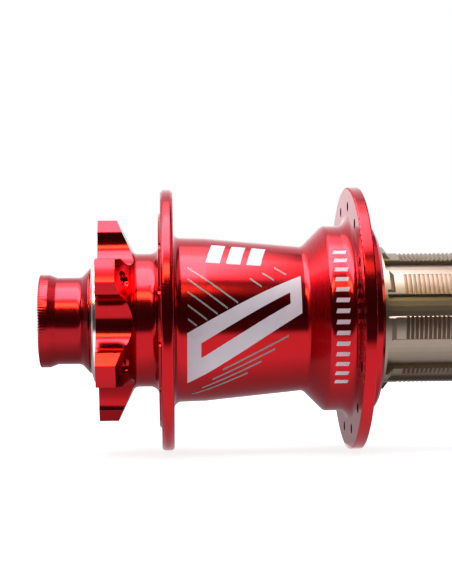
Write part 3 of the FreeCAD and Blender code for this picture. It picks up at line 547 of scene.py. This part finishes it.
def band(frame_corners, left, right, bottom, top):
    """The part of a four-cornered frame between two shares of its length and of its height."""
    def at(u, v):
        low_side = [a + (b - a) * u for a, b in zip(frame_corners[0], frame_corners[1])]
        high_side = [a + (b - a) * u for a, b in zip(frame_corners[3], frame_corners[2])]
        return tuple(a + (b - a) * v for a, b in zip(low_side, high_side))
    return [at(left, bottom), at(right, bottom), at(right, top), at(left, top)]


def graphics():
    """Plain shapes only: a slanted panel with one window, bars, pinstripes and a row of ticks."""
    surface = shell_surface()
    panel = [(-29.4, -48.0), (-0.4, 4.0), (-0.4, 34.0), (-29.4, -9.0)]
    window = (0.12, 0.90, 0.40, 0.68)
    left, right, bottom, top = window
    parts = [
        band(panel, 0.0, 1.0, 0.0, bottom),
        band(panel, 0.0, 1.0, top, 1.0),
        band(panel, 0.0, left, bottom, top),
        band(panel, right, 1.0, bottom, top),
    ]
    printed("waist_panel_print", parts, surface, WHITE_INK)
    bars = [slanted_bar(-24.5 + 5.2 * i, 42.0, 3.6, 22.0, 1.8) for i in range(3)]
    printed("waist_bar_print", bars, surface, WHITE_INK)
    upper = [stripe(-29.2, 36.5 - 9.2 * i, 12.6 - 2.6 * i, -2.05) for i in range(5)]
    short = [stripe(-13.4 + 3.2 * i, 29.0 + 5.4 * i, 2.9, -2.05) for i in range(3)]
    lower = [stripe(-20.4 - 2.6 * i, -37.5 - 8.4 * i, 16.5 - 0.8 * i, 1.45) for i in range(4)]
    printed("waist_pinstripe_print", upper + short + lower, surface, GREY_INK)
    ticks = [slanted_bar(7.5, -42.0 + 6.4 * i, 3.3, 2.6, 0.3) for i in range(14)]
    printed("drum_tick_print", ticks, surface, WHITE_INK)


# ---------------------------------------------------------------- studio


FLOOR_SIZE = 8.0
SUN_STRENGTH = 4.6             # very soft light from above
FLOOR_CARD_RADIANCE = 1.35
FLOOR_GLOW = 0.84              # keeps the soft shadow under the hub faint
SOFTBOX_HEIGHT = 0.60
SOFTBOX_FRONT = 0.47           # the softbox reaches this far towards the camera
SOFTBOX_DEPTH = 0.86
SOFTBOX_WIDTH = 1.8
SOFTBOX_RADIANCE = 17.0
STRIP_RADIANCE = 16.0
CARD_DEPTH = 1.0               # the floor card changes tone over this depth


def area_light(name, centre, target, width, height, radiance, colour):
    """A rectangle that shows only in reflections, with a given radiance."""
    light = bpy.data.lights.new(name, "AREA")
    light.shape = "RECTANGLE"
    light.size = width
    light.size_y = height
    light.color = colour
    light.energy = radiance * math.pi * width * height
    lamp = bpy.data.objects.new(name, light)
    lamp.location = centre
    lamp.rotation_euler = (Vector(target) - Vector(centre)).to_track_quat("-Z", "Y").to_euler()
    lamp.visible_camera = False
    lamp.visible_diffuse = False
    bpy.context.scene.collection.objects.link(lamp)
    return lamp


def stage_plane(name, width, depth, centre, material):
    mesh = bpy.data.meshes.new(name)
    grid = bmesh.new()
    bmesh.ops.create_grid(grid, x_segments=12, y_segments=12, size=0.5)
    bmesh.ops.scale(grid, vec=(width, depth, 1.0), verts=grid.verts)
    grid.to_mesh(mesh)
    grid.free()
    plane = bpy.data.objects.new(name, mesh)
    plane.location = centre
    mesh.materials.append(material)
    bpy.context.scene.collection.objects.link(plane)
    return plane


def overhead():
    """Very soft light from above that does not show in reflections."""
    sun = bpy.data.lights.new("soft_overhead", "SUN")
    sun.energy = SUN_STRENGTH
    sun.angle = math.radians(70)
    lamp = bpy.data.objects.new("soft_overhead", sun)
    lamp.rotation_euler = (math.radians(-8), 0.0, 0.0)
    lamp.visible_camera = False
    lamp.visible_glossy = False
    bpy.context.scene.collection.objects.link(lamp)


def glowing_card(name, width, depth, centre, light, colour):
    """A card that shows only in reflections; light(shader, across, along) gives its radiance from
    the metres across and along it."""
    glow = Shader(name)
    parts = glow.add("ShaderNodeSeparateXYZ")
    glow.join(glow.add("ShaderNodeTexCoord").outputs["Object"], parts.inputs[0])
    emission = glow.add("ShaderNodeEmission")
    emission.inputs["Color"].default_value = colour
    glow.join(light(glow, parts.outputs["X"], parts.outputs["Y"]), emission.inputs["Strength"])
    glow.join(emission.outputs[0], glow.tree.nodes["Material Output"].inputs["Surface"])
    card = stage_plane(name, width, depth, centre, glow.material)
    card.visible_camera = False
    card.visible_diffuse = False
    card.visible_shadow = False


def softbox():
    """A panel overhead, brightest in the middle and dim on the right."""
    def light(glow, across, along):
        along = glow.value("ADD", glow.value("DIVIDE", along, SOFTBOX_DEPTH), 0.5)
        across = glow.value("ADD", glow.value("DIVIDE", across, SOFTBOX_WIDTH), 0.5)
        depth = ramp(glow.tree, along, [
            (0.0, 0.03), (0.10, 0.25), (0.17, 0.95), (0.30, 1.0),
            (0.60, 0.90), (0.70, 0.35), (0.84, 0.22), (1.0, 0.10),
        ])
        width = ramp(glow.tree, across, [(0.0, 1.0), (0.545, 1.0), (0.575, 0.08), (1.0, 0.08)])
        return glow.value("MULTIPLY", glow.value("MULTIPLY", depth, width), SOFTBOX_RADIANCE)

    middle = SOFTBOX_DEPTH / 2 - SOFTBOX_FRONT
    glowing_card("softbox", SOFTBOX_WIDTH, SOFTBOX_DEPTH, (0.0, middle, SOFTBOX_HEIGHT), light,
                 (1.0, 0.93, 0.97, 1))


def reflected_floor(bottom):
    """What the hub reflects in place of the floor: pale under its near side, dark farther out, and dimmed
    under and behind the hub as a painted shadow of the hub.
    """
    def light(glow, across, along):
        along = glow.value("ADD", glow.value("DIVIDE", along, CARD_DEPTH), 0.5)
        # Painted shadow: past 0.47, under the hub, the card dims from 1.0 to 0.27 and stays there behind it.
        # This stands in for the hub's own shadow on the floor it reflects.
        shade = ramp(glow.tree, along, [
            (0.0, 0.05), (0.385, 0.05), (0.415, 1.0), (0.47, 1.0),
            (0.48, 0.72), (0.49, 0.45), (0.505, 0.27), (1.0, 0.27),
        ])
        return glow.value("MULTIPLY", shade, FLOOR_CARD_RADIANCE)

    glowing_card("floor_card", FLOOR_SIZE, FLOOR_SIZE, (0.0, 0.0, bottom + 1.0 * MM), light,
                 (1.0, 0.97, 0.99, 1))


def studio():
    """A pale floor, a wide soft light overhead, and a surround that is dim at eye level."""
    bottom = cad_bounds[0].z
    pale = Shader("pale_floor", Roughness=1.0, Specular_IOR_Level=0.0, Emission_Color=(1, 1, 1, 1),
                  Emission_Strength=FLOOR_GLOW)
    cloud = pale.noise(pale.add("ShaderNodeTexCoord").outputs["Object"], 3.0, 2.0)
    tone = pale.mix(cloud, (0.30, 0.30, 0.30, 1), (0.32, 0.32, 0.32, 1))
    pale.join(tone, pale.surface.inputs["Base Color"])
    stage_plane("floor", FLOOR_SIZE, FLOOR_SIZE, (0.0, 0.0, bottom), pale.material)

    reflected_floor(bottom)
    softbox()
    warm = (1.0, 0.80, 0.26)
    area_light("warm_strip_left", (-0.31, -0.50, 0.46), (-0.31, 0.0, 0.0), 0.60, 0.13, STRIP_RADIANCE, warm)
    area_light("warm_strip_right", (0.085, -0.50, 0.46), (0.085, 0.0, 0.0), 0.04, 0.13,
               STRIP_RADIANCE / 2, warm)

    overhead()
    surround()
    bpy.context.scene.view_settings.view_transform = "Standard"


def surround():
    """World light: white to the camera; in reflections dark in front and bright behind the hub."""
    world = bpy.data.worlds.new("surround")
    bpy.context.scene.world = world
    world.use_nodes = True
    tree = world.node_tree
    background = tree.nodes["Background"]
    parts = tree.nodes.new("ShaderNodeSeparateXYZ")
    tree.links.new(tree.nodes.new("ShaderNodeTexCoord").outputs["Generated"], parts.inputs[0])

    front = ramp(tree, parts.outputs["Z"], [(0.0, 0.04), (0.5, 0.05), (0.72, 0.30), (1.0, 0.6)])
    back = ramp(tree, parts.outputs["Z"], [(0.0, 0.80), (0.12, 1.1), (0.30, 1.0), (1.0, 1.1)])
    behind = ramp(tree, parts.outputs["Y"], [(0.0, 0.0), (0.45, 1.0)])
    both = tree.nodes.new("ShaderNodeMix")
    both.data_type = "RGBA"
    tree.links.new(behind, both.inputs[0])
    tree.links.new(front, both.inputs[6])
    tree.links.new(back, both.inputs[7])
    tree.links.new(both.outputs[2], background.inputs["Color"])
    white = tree.nodes.new("ShaderNodeBackground")
    white.inputs["Color"].default_value = (1, 1, 1, 1)
    path = tree.nodes.new("ShaderNodeLightPath")
    chosen = tree.nodes.new("ShaderNodeMixShader")
    tree.links.new(path.outputs["Is Camera Ray"], chosen.inputs[0])
    tree.links.new(background.outputs[0], chosen.inputs[1])
    tree.links.new(white.outputs[0], chosen.inputs[2])
    tree.links.new(chosen.outputs[0], tree.nodes["World Output"].inputs["Surface"])


def camera():
    """A long lens square to the hub axis, a little left of the middle."""
    lens = bpy.data.cameras.new("camera")
    lens.lens = 79.3
    lens.clip_start = 0.01
    eye = bpy.data.objects.new("camera", lens)
    eye.location = (-34.25 * MM, -341.2 * MM, 0.0)
    eye.rotation_euler = Euler([math.radians(a) for a in (91.214, 0.634, -2.602)])
    bpy.context.scene.collection.objects.link(eye)
    bpy.context.scene.camera = eye


finish_cad_nodes()
end_caps()
threads()
graphics()
studio()
camera()
